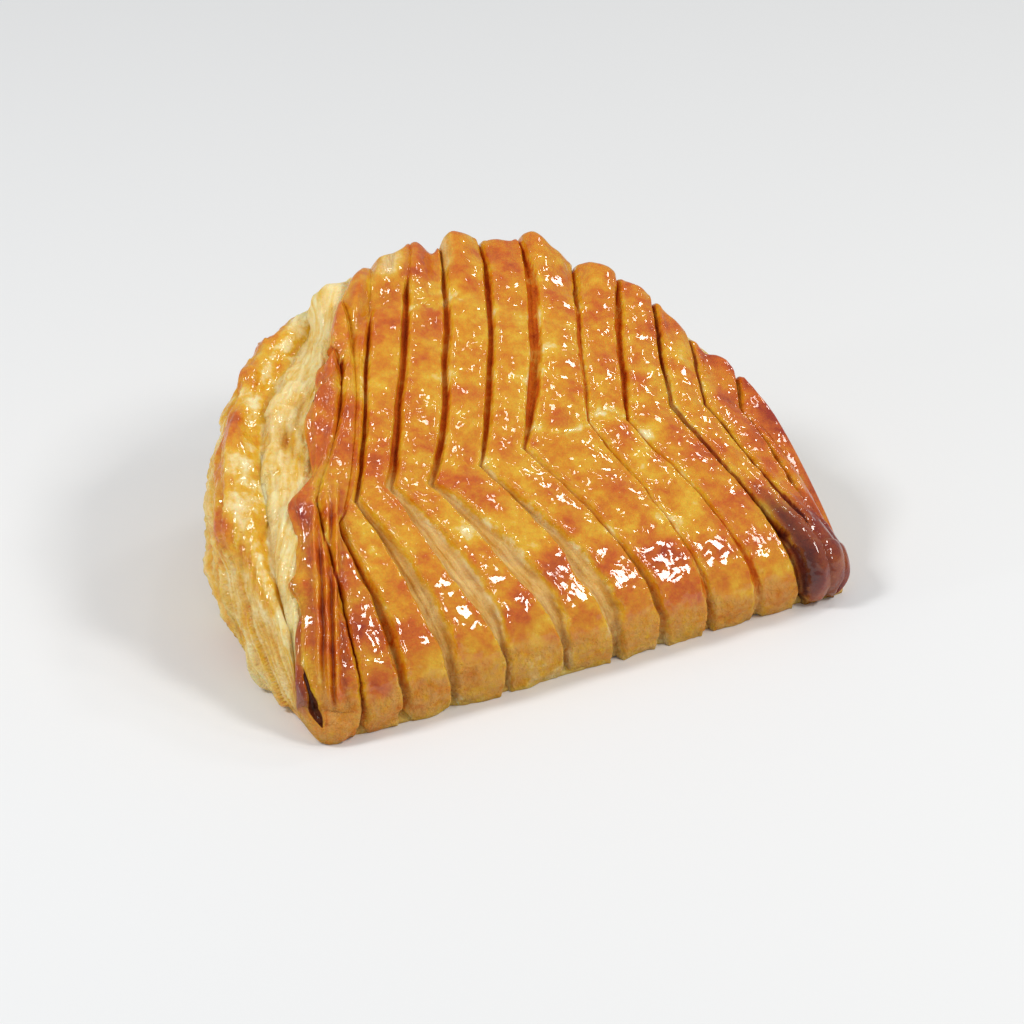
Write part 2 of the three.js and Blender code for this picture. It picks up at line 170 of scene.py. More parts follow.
# Outline and rim: squareness of the superellipse and power of the rim's rise, on the left and on the right
LEFT_SQUARENESS = 2.3
RIGHT_SQUARENESS = 2.22
LEFT_RISE = 0.42
RIGHT_RISE = 0.76

# Crust from the fold's foot to the rim: depth and height as shares of the rim's depth and height
CRUST_DEPTHS = np.array([-0.034, -0.05, -0.02, 0.065, 0.2, 0.36, 0.6, 0.82, 1.0])
CRUST_HEIGHTS = np.array([0.0, 0.13, 0.275, 0.4, 0.525, 0.645, 0.81, 0.925, 1.0])
CRUST_LENGTH = 125 * MM

# Side from under the rim to the foot: reach as a share of the flare, height as a share of the rim's height.
# It goes over the flaky shelf, the valley, the glazed roll and the outer ridge, and down the wall.
SIDE_REACHES = np.array([-0.1, 0, 0.14, 0.32, 0.44, 0.5, 0.58, 0.7, 0.84, 0.95, 1.0, 1.02, 0.98, 0.9, 0.74])
SIDE_HEIGHTS = np.array(
    [0.83, 0.915, 0.94, 0.935, 0.9, 0.85, 0.865, 0.905, 0.9, 0.83, 0.66, 0.48, 0.27, 0.1, 0]
)
BACK_DROP = 0.05

# Side relief: plies, bulges, dents, fibres and flakes, the flare where it is full; and the base's front edge
PLY_THICKNESS = 2.9 * MM
SIDE_BULGE = 1.5 * MM
SIDE_DENT = 0.55 * MM
FIBRE_RELIEF = 0.28 * MM
FLAKE_RELIEF = 0.75 * MM
MEAN_FLAKES = 0.8
FULL_FLARE = 14 * MM
SKIRT_INSET = 0.6 * MM
SKIRT_RAGGED = 1.2 * MM
SKIRT_RISE = 0.7 * MM

# Grids: columns of a rib, each rib's share of them and their crowding towards the slashes; rows; stations of
# the inner rows; the noise's lattice; samples along the rim; and what keeps a length from being zero
CRUST_COLUMNS = 26
END_COLUMNS = np.array([1, 3, 1.2, 1, 1, 1, 1, 1, 1, 1, 1, 1, 1, 0.8])
CROWDING = 0.7
CRUST_ROWS = 210
LIP_ROWS = 9
SIDE_COLUMNS = 560
SIDE_ROWS = 140
BASE_ROWS = 9
UNDER_STATIONS = np.array([0.95, 0.86, 0.68, 0.43, 0.2, 0.06])
INSIDE_STATIONS = np.array([0.04, 0.12, 0.3, 0.55, 0.8, 0.93])
LATTICE = 64
RIM_SAMPLES = 4001
TINY = 1e-12

# Camera of the photograph, and where the middle of the fold's foot falls in its 1024 pixel square
VIEW_AZIMUTH = math.radians(-28)
VIEW_ELEVATION = math.radians(32)
LENS = 200.0
SENSOR = 36.0
PICTURE = 1024
PIXELS_PER_MM = 4.35
FOLD_PIXEL = (575, 662)

# Lights: direction from the part and size (m), at one distance (m); and the floor's half width and level (m)
LIGHTS = {
    "key": ((-0.6, 0.15, 0.78), 0.2),
    "front": ((0.42, -0.53, 0.74), 0.2),
    "edge": ((0.62, -0.3, 0.72), 0.11),
    "top": ((0.35, 0.05, 0.93), 0.08),
    "right": ((0.68, 0.14, 0.72), 0.09),
    "left": ((-0.95, 0.1, 0.25), 0.1),
}
LIGHT_DISTANCE = 0.9
WHITE = (1.0, 1.0, 1.0)
FLOOR_HALF = 3.0
FLOOR_LEVEL = -0.05 * MM


def millimetres(default, name, description):
    """A length property, with its default given in millimetres."""
    return FloatProperty(
        name=name, description=description, default=default * MM, unit="LENGTH", precision=5
    )


def watts(default, name, description):
    """A light's power property."""
    return FloatProperty(name=name, description=description, default=default, unit="POWER")


def srgb_to_linear(value):
    """Linear value of an sRGB one."""
    if value <= 0.04045:
        return value / 12.92
    return ((value + 0.055) / 1.055) ** 2.4


def colour(red, green, blue, name, description):
    """A colour property from 8-bit sRGB values."""
    linear = [srgb_to_linear(value / 255) for value in (red, green, blue)]
    return FloatVectorProperty(
        name=name, description=description, default=linear, subtype="COLOR", size=3, min=0.0, max=1.0
    )


class TurnoverForm(bpy.types.PropertyGroup):
    """Sizes of the pastry."""

    outline_depth: millimetres(99, "Outline depth", "From the fold to the back of the outline")
    outline_half_width: millimetres(73, "Half width", "Half the outline's width along the fold")
    outline_middle: millimetres(1, "Arch offset", "How far right of the fold's middle the arch stands")
    rim_height: millimetres(62, "Rim height", "Height of the crust's edge at the back")
    tip_height: millimetres(15, "Tip height", "Height of the two blunt ends of the fold")
    tip_depth: millimetres(9, "Tip depth", "Depth of the two blunt ends of the fold")
    flare: millimetres(7, "Flare", "How far the plies stand out beyond the crust all round")
    flare_left: millimetres(19, "Left flare", "How much further they stand out on the left")
    corner_left: millimetres(4, "Left corner", "How far the outline draws in at the fold's left end")
    lip: millimetres(4.2, "Lip", "Thickness of the crust at its rim")
    tab: millimetres(4.6, "Tab", "Reach of the longest brown tab on the left rim")
    crown: millimetres(0.8, "Crown", "Height of a rib's middle over its edges")
    swell: millimetres(0.55, "Swell", "Height of the slow unevenness of the crust")
    ply_relief: millimetres(1.1, "Ply relief", "Height of the ply edges on the side")


class TurnoverFinish(bpy.types.PropertyGroup):
    """Colours of the bake."""

    cream: colour(250, 234, 176, "Cream", "Barely baked plies")
    golden: colour(230, 180, 40, "Golden", "Lightly baked glaze")
    amber: colour(220, 144, 12, "Amber", "Well baked glaze")
    russet: colour(206, 100, 12, "Russet", "Browned spots")
    mahogany: colour(158, 46, 14, "Mahogany", "Dark rib ends")
    charred: colour(68, 10, 8, "Charred", "Burnt tips")
    tan: colour(220, 164, 92, "Tan", "Unglazed fold and ply edges")
    dough: colour(236, 196, 122, "Dough", "Open dough in the slashes")
    dough_shade: colour(200, 138, 64, "Dough shade", "Darker layers of the open dough")


class TurnoverStage(bpy.types.PropertyGroup):
    """Floor and light."""

    floor: colour(237, 239, 241, "Floor", "Plain pale floor")
    glint: colour(255, 252, 247, "Glint", "Tint of the small lights that glint in the glaze")
    key_power: watts(3.0, "Key", "Power of the key light")
    front_power: watts(2.6, "Front", "Power of the front light")
    edge_power: watts(0.5, "Edge", "Power of the edge light")
    top_power: watts(0.25, "Top", "Power of the overhead light")
    right_power: watts(0.44, "Right", "Power of the right light")
    left_power: watts(0.6, "Left", "Power of the left light")
    fill: FloatProperty(name="Fill", description="Strength of the light from all round", default=0.4)


def smooth(low, high, value):
    """0 below low, 1 above high and an S-shaped step between."""
    share = np.clip((value - low) / (high - low), 0.0, 1.0)
    return share * share * (3.0 - 2.0 * share)


def fade(low, high, value):
    """1 below low, 0 above high and an S-shaped step between."""
    return 1 - smooth(low, high, value)


def bump(middle, width, value):
    """Bell of height 1 around the middle."""
    return np.exp(-(((value - middle) / width) ** 2))


def bells(rows, value):
    """Sum of bells, each row giving a middle, a half width and a height."""
    return sum(height * bump(middle, width, value) for middle, width, height in rows)


def curve_through(values, place):
    """Cubic through the values at whole places, with the slope at each from its two neighbours."""
    ends = np.concatenate([[2 * values[0] - values[1]], values, [2 * values[-1] - values[-2]]])
    step = np.clip(np.floor(place).astype(int), 0, len(values) - 2)
    share = place - step
    before, start, end, after = (ends[step + i] for i in range(4))
    slope = end - before
    curve = 2 * before - 5 * start + 4 * end - after
    twist = 3 * (start - end) + after - before
    return start + 0.5 * share * (slope + share * (curve + share * twist))


def cloud(points, size, seed):
    """Smooth noise from -1 to 1: random values on a cubic lattice with cells of that size (mm), blended."""
    values = np.random.default_rng(seed).uniform(-1.0, 1.0, (LATTICE, LATTICE, LATTICE))
    place = points / (size * MM)
    cell = np.floor(place).astype(int)
    share = place - cell
    share = share * share * (3.0 - 2.0 * share)
    total = np.zeros(points.shape[:-1])
    for corner in np.ndindex(2, 2, 2):
        weight = np.where(np.array(corner, bool), share, 1.0 - share).prod(axis=-1)
        x, y, z = np.moveaxis((cell + corner) % LATTICE, -1, 0)
        total += weight * values[x, y, z]
    return total


def unit(directions):
    """The directions at length 1."""
    return directions / (np.linalg.norm(directions, axis=-1, keepdims=True) + TINY)


def vectors(x, y, z):
    """Points or directions from their three parts."""
    return np.stack(np.broadcast_arrays(x, y, z), axis=-1)


def from_tips(rib):
    """How many ribs away the nearer tip is."""
    return np.minimum(rib, RIB_COUNT - rib)


def rim_at(degrees, form):
    """The rim at a bearing, from the left tip over the back to the right one: inside a half superellipse
    behind the fold by the flare, which is widest along the left; it rises from either tip by a power law."""
    along = np.cos(np.radians(degrees))
    out = np.maximum(np.sin(np.radians(degrees)), 0)
    is_left = along > 0
    power = 2 / np.where(is_left, LEFT_SQUARENESS, RIGHT_SQUARENESS)
    rise = np.where(is_left, (degrees / 90) ** LEFT_RISE, out**RIGHT_RISE)
    left_share = 0.2 * np.minimum(degrees / 2, 1) + 0.8 * smooth(0, 22, degrees)
    left_share = left_share * fade(52, 96, degrees)
    flare = form.flare * np.sqrt(out) + form.flare_left * left_share
    outline_x = form.outline_middle - np.sign(along) * form.outline_half_width * np.abs(along) ** power
    outline_x = outline_x + form.corner_left * fade(0, 20, degrees)
    outline_y = form.tip_depth + (form.outline_depth - form.tip_depth) * out**power
    return SimpleNamespace(
        degrees=degrees,
        rim_x=outline_x + along * flare,
        rim_y=outline_y - out * flare,
        rim_z=form.tip_height + (form.rim_height - form.tip_height) * rise,
        flare=flare,
        left_share=left_share,
        out_x=-along,
        out_y=out,
    )


def rib_line(rib, form):
    """One line across the pastry for each rib place: its course over the crust, and its rim."""
    degrees = np.where(rib < 1, SLASH_RIM[1] * rib, curve_through(SLASH_RIM, rib))
    line = rim_at(np.clip(degrees, 0, 180), form)
    line.fold_x = curve_through(SLASH_FOLD, rib)
    line.kink_x = curve_through(SLASH_KINK, rib)
    line.kink_station = curve_through(KINK_STATION, rib)
    line.bow = curve_through(SLASH_BOW, rib)
    return line


def crust_point(line, station, form):
    """Crust: x bends from the fold to the midrib and, with a kink, goes on to the rim; depth and height
    follow the crust profile, scaled by the rim's depth and height."""
    place = np.clip(station, 0, 1) * (len(CRUST_DEPTHS) - 1)
    depth = curve_through(CRUST_DEPTHS, place)
    height = curve_through(CRUST_HEIGHTS, place)
    lower = np.clip(station / line.kink_station, 0, 1) ** SLASH_BEND
    upper = np.clip((station - line.kink_station) / (1 - line.kink_station), 0, 1)
    x = line.fold_x + (line.kink_x - line.fold_x) * lower + (line.rim_x - line.kink_x) * upper
    x = x + line.bow * 4 * upper * (1 - upper)
    y = depth * np.where(depth < 0, form.outline_depth, line.rim_y)
    return vectors(x, y, height * line.rim_z)


def strap_sides(up, form):
    """The left strap's two sides at places along it: the crust's left edge, which climbs the tip and then
    follows the rim with its tabs, and the second slash."""
    rim = rim_at(np.interp(up, STRAP_PLACES, STRAP_BEARINGS), form)
    tab = form.tab * bells(TABS, rim.degrees)
    edge = vectors(rim.rim_x + rim.out_x * tab, rim.rim_y + rim.out_y * tab, rim.rim_z + TAB_LIFT * tab)
    tip = crust_point(rib_line(np.ones(1), form), up / STRAP_PLACES[0], form)
    edge = np.where((up < STRAP_PLACES[0])[..., None], tip, edge)
    return edge, crust_point(rib_line(np.full(1, 2.0), form), up, form)


def left_strap(rib, station, form):
    """Left strap: the straight way from the crust's left edge to the second slash. Each line keeps its share
    of the width and then turns out to the edge, the later the nearer it starts to the slash."""
    share = np.clip(rib - 1, 0, 1)
    degrees = rib_line(rib, form).degrees
    up = station * np.interp(degrees, STRAP_BEARINGS, STRAP_PLACES)
    inward = share * (1 - station ** (1.2 / np.maximum(1 - share, 0.002) ** 1.5))
    edge, slash = strap_sides(up, form)
    next_edge, next_slash = strap_sides(up + STRAP_STEP, form)
    points = edge + inward[..., None] * (slash - edge)
    next_points = next_edge + inward[..., None] * (next_slash - next_edge)
    return SimpleNamespace(
        points=points,
        inward=inward,
        across=slash - edge,
        upward=(next_points - points) / STRAP_STEP,
        share=share[..., None],
    )


def side_point(line, share):
    """Side: the side profile carried along the rim, its reach scaled by the flare and its height by the
    rim's, a little lower away from the left."""
    place = np.clip(share, 0, 1) * (len(SIDE_REACHES) - 1)
    reach = curve_through(SIDE_REACHES, place) * line.flare
    height = np.maximum(curve_through(SIDE_HEIGHTS, place), 0)
    height = height * (1 - BACK_DROP * (1 - line.left_share) * smooth(0.2, 0.45, share))
    x = line.rim_x + line.out_x * reach
    y = line.rim_y + line.out_y * reach
    return vectors(x, y, height * line.rim_z)


def rib_columns(per_rib):
    """Rib places, crowded towards the slashes by a sine warp."""
    columns = []
    for rib in range(RIB_COUNT):
        count = int(per_rib * END_COLUMNS[rib])
        share = np.arange(count) / count
        columns.append(rib + share - CROWDING * np.sin(2 * np.pi * share) / (2 * np.pi))
    return np.concatenate(columns)[1:]


def section_middle(line):
    """Middle of a section: half way from fold to rim, at fixed shares of the rim's depth and height."""
    return vectors((line.fold_x + line.rim_x) / 2, 0.42 * line.rim_y, 0.38 * line.rim_z)


def close_tips(points, line):
    """Shrinks the sections near either tip about their middles, as a quarter circle does, and draws the
    fold's left corner back, the more the nearer to the tip and to the front."""
    from_left = line.fold_x - SLASH_FOLD[0]
    from_right = SLASH_FOLD[-1] - line.fold_x
    to_tip = np.clip(np.minimum(from_left / LEFT_ROUNDING, from_right / RIGHT_ROUNDING), 0, 1)
    size = np.sqrt(1 - (1 - to_tip) ** 2)
    middle = section_middle(line)
    points = middle + (points - middle) * size[..., None]
    to_corner = np.clip(1 - from_left / CORNER_REACH, 0, 1)
    points[..., 1] += CORNER_DRAW * to_corner**2 * np.clip(0.6 - points[..., 1] / CORNER_DEPTH, 0, 1)
    return points


def end_rise(rib):
    """Height of the rib ends over the smooth rim: S-shaped steps between the heights at the stops."""
    stops, heights = END_STOPS[:, 0], END_STOPS[:, 1] * MM
    before = np.clip(np.searchsorted(stops, rib) - 1, 0, len(stops) - 2)
    share = smooth(stops[before], stops[before + 1], rib)
    return heights[before] + (heights[before + 1] - heights[before]) * share


def slash_openings(station, kink, nearest):
    """Half the slash's opening: a thin line all along, a notch at the fold's foot, a lens below the midrib
    and a long flat hat above it."""
    place = np.where(station < kink, station / kink, 1 + (station - kink) / (1 - kink))
    foot = fade(0.0, 0.25, place)
    lens = bump(LENS_PLACE[nearest], LENS_LENGTH[nearest], place)
    upper = smooth(0.95, 1.2, place) * (1 - 0.85 * smooth(1.7, 2.0, place))
    opening = FOOT_OPENING * foot + LENS_OPENING[nearest] * lens + UPPER_OPENING[nearest] * upper
    start = smooth(0.0, 0.05, station - SLASH_START[nearest] + 0.05 * (SLASH_START[nearest] == 0))
    end = smooth(0.0, 0.05, SLASH_END[nearest] - station + 0.05 * (SLASH_END[nearest] == 1))
    return np.maximum(opening, THIN_OPENING) * start * end


def crack_share(rib, station):
    """Cracks that cross a rib: narrow bells along the crust between two rib places, with a wavering line."""
    total = 0 * station
    waver = 0.006 * np.sin(rib * 9) + 0.003 * np.sin(rib * 31)
    for first, last, middle in CRACKS:
        window = smooth(first - 0.02, first + 0.1, rib) * fade(last - 0.1, last + 0.02, rib)
        total = total + window * bump(middle, CRACK_WIDTH, station + waver)
    return total


def crust_body(rib, top, line, form):
    """The smooth crust with the left strap laid in, and its directions along the rim and upwards."""
    is_strap = ((rib >= 1) & (rib < 2))[:, None]
    strap = left_strap(rib[:, None], top, form)
    points = np.where(is_strap[..., None], strap.points, crust_point(line, top, form))
    along = np.where(is_strap[..., None], strap.across, np.gradient(points, rib, axis=0))
    upward = np.where(is_strap[..., None], strap.upward, np.gradient(points, top, axis=1))
    return SimpleNamespace(
        points=points,
        along=along,
        upward=upward,
        normal=unit(np.cross(along, upward)),
        fraction=np.where(is_strap, strap.inward, (rib - np.floor(rib))[:, None]),
        strap_share=strap.share,
    )


def crust_grid(rib, top, line, body):
    """Where each point of the crust lies: its rib and station, its place up the left strap, its share across
    the rib, the slash next to it, its distance from the slash's wavering middle line and from its edge, how
    far down in the slash it is, and the wrinkles and cracks there."""
    width = np.linalg.norm(np.cross(body.along, unit(body.upward)), axis=-1)
    places = np.broadcast_to(rib[:, None], width.shape)
    station = np.broadcast_to(top, width.shape)
    kink = np.broadcast_to(line.kink_station, width.shape)
    nearest = np.clip(np.round(places).astype(int), 0, RIB_COUNT)
    is_slash = (nearest > 0) & (nearest < RIB_COUNT)
    run = vectors(station * CRUST_LENGTH, nearest * 0.1, 0)
    waver = 0.4 * MM * cloud(run, 6, 21) + 0.14 * MM * cloud(run, 1.8, 23)
    waver = waver * np.where(nearest == 1, 0.2, 1)
    gap = (np.floor(places) + body.fraction - nearest) * width + waver
    uneven = 1 + 0.3 * (nearest > 1) * cloud(run + 0.05, 4, 22)
    opening = slash_openings(station, kink, nearest) * uneven
    sunk = fade(0.65 * opening, opening + 0.25 * MM, np.abs(gap))
    sunk = np.where(is_slash, sunk * smooth(0, 0.25 * MM, opening), 0)
    no_slash = 9 * MM
    edge = np.where(is_slash & (opening > 0.05 * MM), np.clip(np.abs(gap) - opening, 0, None), no_slash)
    top_place = np.where(places < 2, np.interp(line.degrees, STRAP_BEARINGS, STRAP_PLACES), 1)
    up = station * top_place
    window, ridges = wrinkled_tip(places, up, body.points)
    return SimpleNamespace(
        rib=places, station=station, up=up, nearest=nearest, run=run, gap=gap,
        opening=opening, sunk=sunk, edge=edge, window=window, ridges=ridges,
        bearing=np.interp(up, STRAP_PLACES, STRAP_BEARINGS),
        by_edge=np.where((places > 1) & (places < 2), fade(0, 0.7, body.fraction), 0),
        fraction=body.fraction,
        arch=4 * body.fraction * (1 - body.fraction),
        pale=LENS_DOUGH[nearest] * fade(-0.02, 0.05, station - kink),
        crack=crack_share(places, station),
    )


def wrinkled_tip(rib, up, points):
    """Pinched wrinkles beside the left tip: where they are, and their ridges, bells around the lines where
    the crust meets the wrinkles' planes."""
    window = smooth(0.1, 0.2, up) * fade(0.62, 0.72, up)
    window = window * smooth(1.2, 1.5, rib) * fade(2.7, 3.0, rib)
    place = points @ WRINKLE_ACROSS + 0.25 * MM * cloud(points, 4, 26)
    ridges = bells([(middle * MM, WRINKLE_WIDTH, 1) for middle in WRINKLE_PLACES], place)
    return window, np.clip(ridges, 0, 1)


def rib_relief(grid, points, form):
    """Ribs: an arch across each, taller at its end; a lift and a tilt for each; slow swells and fine
    wrinkles, rougher by the fold; a bead along the slashes; and rolled ends at the upper left."""
    crown = form.crown * grid.arch * (1 + 2.2 * smooth(0.85, 1, grid.station))
    draws = np.random.default_rng(7).uniform(-1, 1, (RIB_COUNT, 2))
    first = np.clip(np.floor(grid.rib).astype(int), 0, RIB_COUNT - 1)
    lift = RIB_LIFT * draws[first, 0] + RIB_TILT * draws[first, 1] * (grid.fraction - 0.5)
    swell = form.swell * (cloud(points, 11, 1) + 0.55 * cloud(points, 4.5, 2))
    by_fold = fade(0.1, 0.27, grid.station)
    wrinkle = FINE_WRINKLE * cloud(points, 1.9, 4) + FOLD_GRAIN * by_fold * cloud(points, 1.4, 5)
    uneven = 0.7 + 0.6 * cloud(grid.run, 2.4, 24)
    bead = SLASH_BEAD * uneven * bump(0.8 * MM, 0.5 * MM, grid.edge)
    rolled = END_ROLL * bump(0.96, 0.035, grid.station) - END_CREASE * bump(0.9, 0.014, grid.station)
    return crown + lift + swell + wrinkle + bead + rolled * bump(4.1, 1.0, grid.rib)


def tip_relief(grid):
    """Tips: wrinkles and a lobe at the left one, and a knob with a notch above it at the right one."""
    wrinkles = WRINKLE_RISE * grid.window * grid.ridges
    lobe = LOBE_RISE * fade(0.4, 1.0, grid.rib) * bump(0.36, 0.2, grid.station)
    knob = KNOB_RISE * smooth(11.0, 11.6, grid.rib) * bump(0.25, 0.18, grid.station)
    notch = KNOB_NOTCH * smooth(12.6, 13.3, grid.rib) * bump(0.54, 0.06, grid.station)
    return wrinkles + lobe + knob - notch


def slash_relief(grid):
    """Depth of the slashes: quarter round shoulders, and a cut as deep as its station and its opening allow,
    with a layered floor where pale dough shows; shallow in the left tip's slit, healed in stretches on the
    right; and the cracks."""
    short = np.clip(SLASH_ROUNDING - grid.edge, 0, SLASH_ROUNDING)
    shoulder = SLASH_ROUNDING - np.sqrt(SLASH_ROUNDING**2 - short**2)
    shoulder = shoulder * smooth(0, 0.4 * MM, grid.opening)
    deepest = curve_through(SLASH_DEPTHS, grid.station * (len(SLASH_DEPTHS) - 1))
    deepest = np.minimum(deepest * (1 - 0.45 * grid.pale), 1.9 * grid.opening + 0.6 * MM)
    layers = vectors(grid.gap, grid.station * CRUST_LENGTH / 9, grid.nearest * 0.1)
    floor = FLOOR_RELIEF * cloud(layers, 0.9, 25) * grid.pale
    healed = smooth(7.5, 8.5, grid.nearest) * fade(-0.35, 0.25, cloud(grid.run, 15, 28))
    shallow = np.where(grid.nearest == 1, 0.3, 1 - 0.7 * healed)
    return shallow * (shoulder + grid.sunk * (deepest - floor)) + CRACK_DEPTH * grid.crack


def crust_face(grid, line, body, form):
    """Upper face: the body moved along its normal by the relief, its rim out and up by the rib ends, its
    foot made ragged, and the right tip's foot tucked in."""
    ends = np.clip(from_tips(grid.rib), 0, 1)
    relief = rib_relief(grid, body.points, form) + tip_relief(grid) - slash_relief(grid)
    points = body.points + body.normal * (ends * relief)[..., None]
    rise = ends * end_rise(grid.rib) * smooth(0.8, 1, grid.station)
    reach = END_REACH * rise
    points = points + vectors(line.out_x * reach, line.out_y * reach, END_LIFT * rise)
    ragged = FOOT_RAGGED * cloud(vectors(body.points[..., 0], 0, 0), 5, 27)
    points[..., 1] += ragged * fade(0, 0.05, grid.station)
    tuck = smooth(12.3, 13.6, grid.rib) * fade(0.02, 0.18, grid.station)
    points[..., 0] -= KNOB_TUCK * tuck
    return points


def rim_lip(rib, top, line, body, face, form):
    """Half round lip: from the rim it goes on outwards or, on the left strap, sideways, and turns under by
    half a circle, smaller where the rim is low and where the strap starts."""
    outward = unit(np.gradient(face, top, axis=1)[:, -1:])
    sideways = smooth(0, 0.25, body.strap_share) * fade(0.75, 1, body.strap_share)
    outward = unit(outward * (1 - sideways) - unit(body.along[:, -1:]) * sideways)
    radius = np.minimum(form.lip / 2, 0.08 * line.rim_z) * (1 - 0.7 * bump(1, 0.15, rib[:, None]))
    angle = np.linspace(0, np.pi, LIP_ROWS + 1)[None, 1:, None]
    turn = np.sin(angle) * outward + (np.cos(angle) - 1) * body.normal[:, -1:]
    return face[:, -1:] + radius[..., None] * turn


def crust_underside(rib, line, body):
    """Inner face: the body set down a few millimetres or, near the tips, shrunk about its middle."""
    rows = (UNDER_STATIONS * (CRUST_ROWS - 1)).astype(int)
    above = body.points[:, rows]
    depth = np.clip(0.12 * line.rim_z, 1.8 * MM, 6 * MM)[..., None]
    below = above - depth * body.normal[:, rows]
    middle = section_middle(line)
    away = smooth(0.8, 2.4, from_tips(rib))[:, None, None]
    under = below * away + (middle + 0.6 * (above - middle)) * (1 - away)
    under[..., 2] = np.maximum(under[..., 2], 0.6 * MM)
    return under


def pad_rows(shades, before, after):
    """Carries each shade's first and last rows on over the rows before and after them."""
    return {name: np.pad(values, ((0, 0), (before, after)), mode="edge") for name, values in shades.items()}


def scored_crust_surface(form):
    """The crust, a closed shell: its upper face, a half round lip and an inner face."""
    rib = rib_columns(CRUST_COLUMNS)
    top = np.linspace(0, 1, CRUST_ROWS)
    line = rib_line(rib[:, None], form)
    body = crust_body(rib, top, line, form)
    grid = crust_grid(rib, top, line, body)
    face = crust_face(grid, line, body, form)
    lip = rim_lip(rib, top, line, body, face, form)
    under = crust_underside(rib, line, body)
    sections = np.concatenate([face, lip, under], axis=1)
    sections[..., 2] = np.maximum(sections[..., 2], 0)

    shades = pad_rows(crust_shades(grid, face), 0, lip.shape[1] + under.shape[1])
    unglazed = slice(CRUST_ROWS + LIP_ROWS // 2, None)
    shades["cut"][:, unglazed] = 0.8
    shades["bake"][:, unglazed] *= 0.5
    return close_tips(sections, line), shades


def crust_shades(grid, points):
    """The crust's shades. Bake: patchy; browner on rib tops, shoulder, rib ends, tabs and tips, and browner,
    a little charred, in the wrinkles' grooves, which is painted shade; paler along the slashes, partly a
    paler cut edge and partly a painted highlight on the edges; paler at the foot; red brown in a slash where
    no pale dough shows, partly browned dough and partly painted shade of the narrow groove. Char: mottled on
    the tips; in their slits and beside the knob, partly burnt and partly painted shade of the slits and the
    crease there. Cut: open dough and torn steps. Gloss: above the fold, and on knob and lobe. Blister: along
    the slashes and by the tips."""
    rib, station = grid.rib, grid.up
    in_slash = fade(0, 0.2 * MM, grid.edge)
    knob = smooth(11.0, 11.25, rib) * fade(0.34, 0.55, station)
    lobe = fade(0.95, 1.06, rib) * smooth(0.06, 0.16, station) * fade(0.62, 0.8, station)
    # Painted shade in the grooves between the left tip's wrinkles: browner and a little charred there.
    painted_groove_shade = grid.window * (1 - grid.ridges)
    step = bells(TORN_STEPS, rib) * smooth(0.93, 0.97, station)
    torn = np.maximum(step, 0.7 * np.clip(grid.crack, 0, 1))

    shoulder = bump(0.31, 0.08, station) * smooth(1.5, 4, rib) * (1 - 0.6 * smooth(8, 10, rib))
    rib_ends = 0.12 * smooth(3.5, 5, rib) + 0.2 * bump(5.05, 0.5, rib) + 0.14 * bump(4.3, 0.5, rib)
    foot = (0.1 - 0.24 * smooth(2.0, 3.5, rib)) * fade(0.01, 0.08, station)
    bake = 0.37 + 0.1 * cloud(points, 15, 31) + 0.14 * cloud(points, 6, 32)
    bake += 0.07 * grid.arch + 0.04 * smooth(6, 9, rib) + 0.2 * shoulder
    bake += rib_ends * smooth(0.86, 1.0, station) + 0.3 * bells(TABS, grid.bearing) * grid.by_edge
    bake += 0.13 * fade(1.8, 3.0, rib) + 0.2 * smooth(11.8, 13.2, rib)
    # Paler within about a millimetre of a slash: partly a paler cut edge, partly a painted highlight where
    # the edges catch the light.
    bake -= 0.2 * fade(0.0, 0.9 * MM, grid.edge)
    # Red brown inside a slash where no pale dough shows: partly browned dough, partly painted shade of the
    # narrow groove.
    bake = bake * (1 - in_slash) + (0.7 - 0.58 * grid.pale) * in_slash
    bake += 0.34 * knob + 0.2 * lobe + 0.14 * painted_groove_shade + foot

    left_tip = fade(0.5, 1.9, rib) * fade(0.25, 0.5, station)
    # Char in the tips' slits and in the crease beside the knob: partly burnt, partly painted shade of the
    # slits and the crease.
    slits_char_and_shade = in_slash * (grid.nearest == 1) + 0.6 * in_slash * (grid.nearest >= 11)
    crease_char_and_shade = bump(11.25, 0.28, rib) * smooth(0.05, 0.12, station) * fade(0.4, 0.58, station)
    char = 0.12 * left_tip + 0.5 * knob + 0.4 * lobe + 0.06 * painted_groove_shade
    char = char * (1 + 0.4 * cloud(points, 5, 33)) + 0.95 * slits_char_and_shade + 0.4 * crease_char_and_shade

    glazed = smooth(0.14, 0.2, station + 0.03 * cloud(points, 4, 34))
    glazed_tips = smooth(0.02, 0.08, station) * (knob + 0.7 * lobe)
    blister = bump(0.7 * MM, 0.6 * MM, grid.edge) + 1.8 * bump(1.9, 0.5, rib) + bump(12.1, 0.2, rib)
    return {
        "bake": np.clip(bake * (1 - torn) + 0.06 * torn, 0, 1),
        "char": np.clip(char, 0, 1),
        "cut": np.maximum(smooth(0.12, 0.75, grid.sunk) * (grid.nearest > 1), 0.85 * step),
        "gloss": np.maximum(glazed, glazed_tips),
        "blister": np.clip(blister, 0, 2),
        "across": grid.gap + 2.0 * MM * grid.sunk,
        "run": station * CRUST_LENGTH,
    }


def rim_columns(count, form):
    """Rib places at equal steps along the outer ridge, so that the plies are even all round."""
    rib = np.linspace(0, RIB_COUNT, RIM_SAMPLES)
    line = rib_line(rib, form)
    ridge = vectors(line.rim_x + line.out_x * line.flare, line.rim_y + line.out_y * line.flare, 0)
    length = np.concatenate([[0], np.cumsum(np.linalg.norm(np.diff(ridge, axis=0), axis=-1))])
    steps = np.linspace(0, length[-1], count + 2)[1:-1]
    return np.interp(steps, length, rib), steps


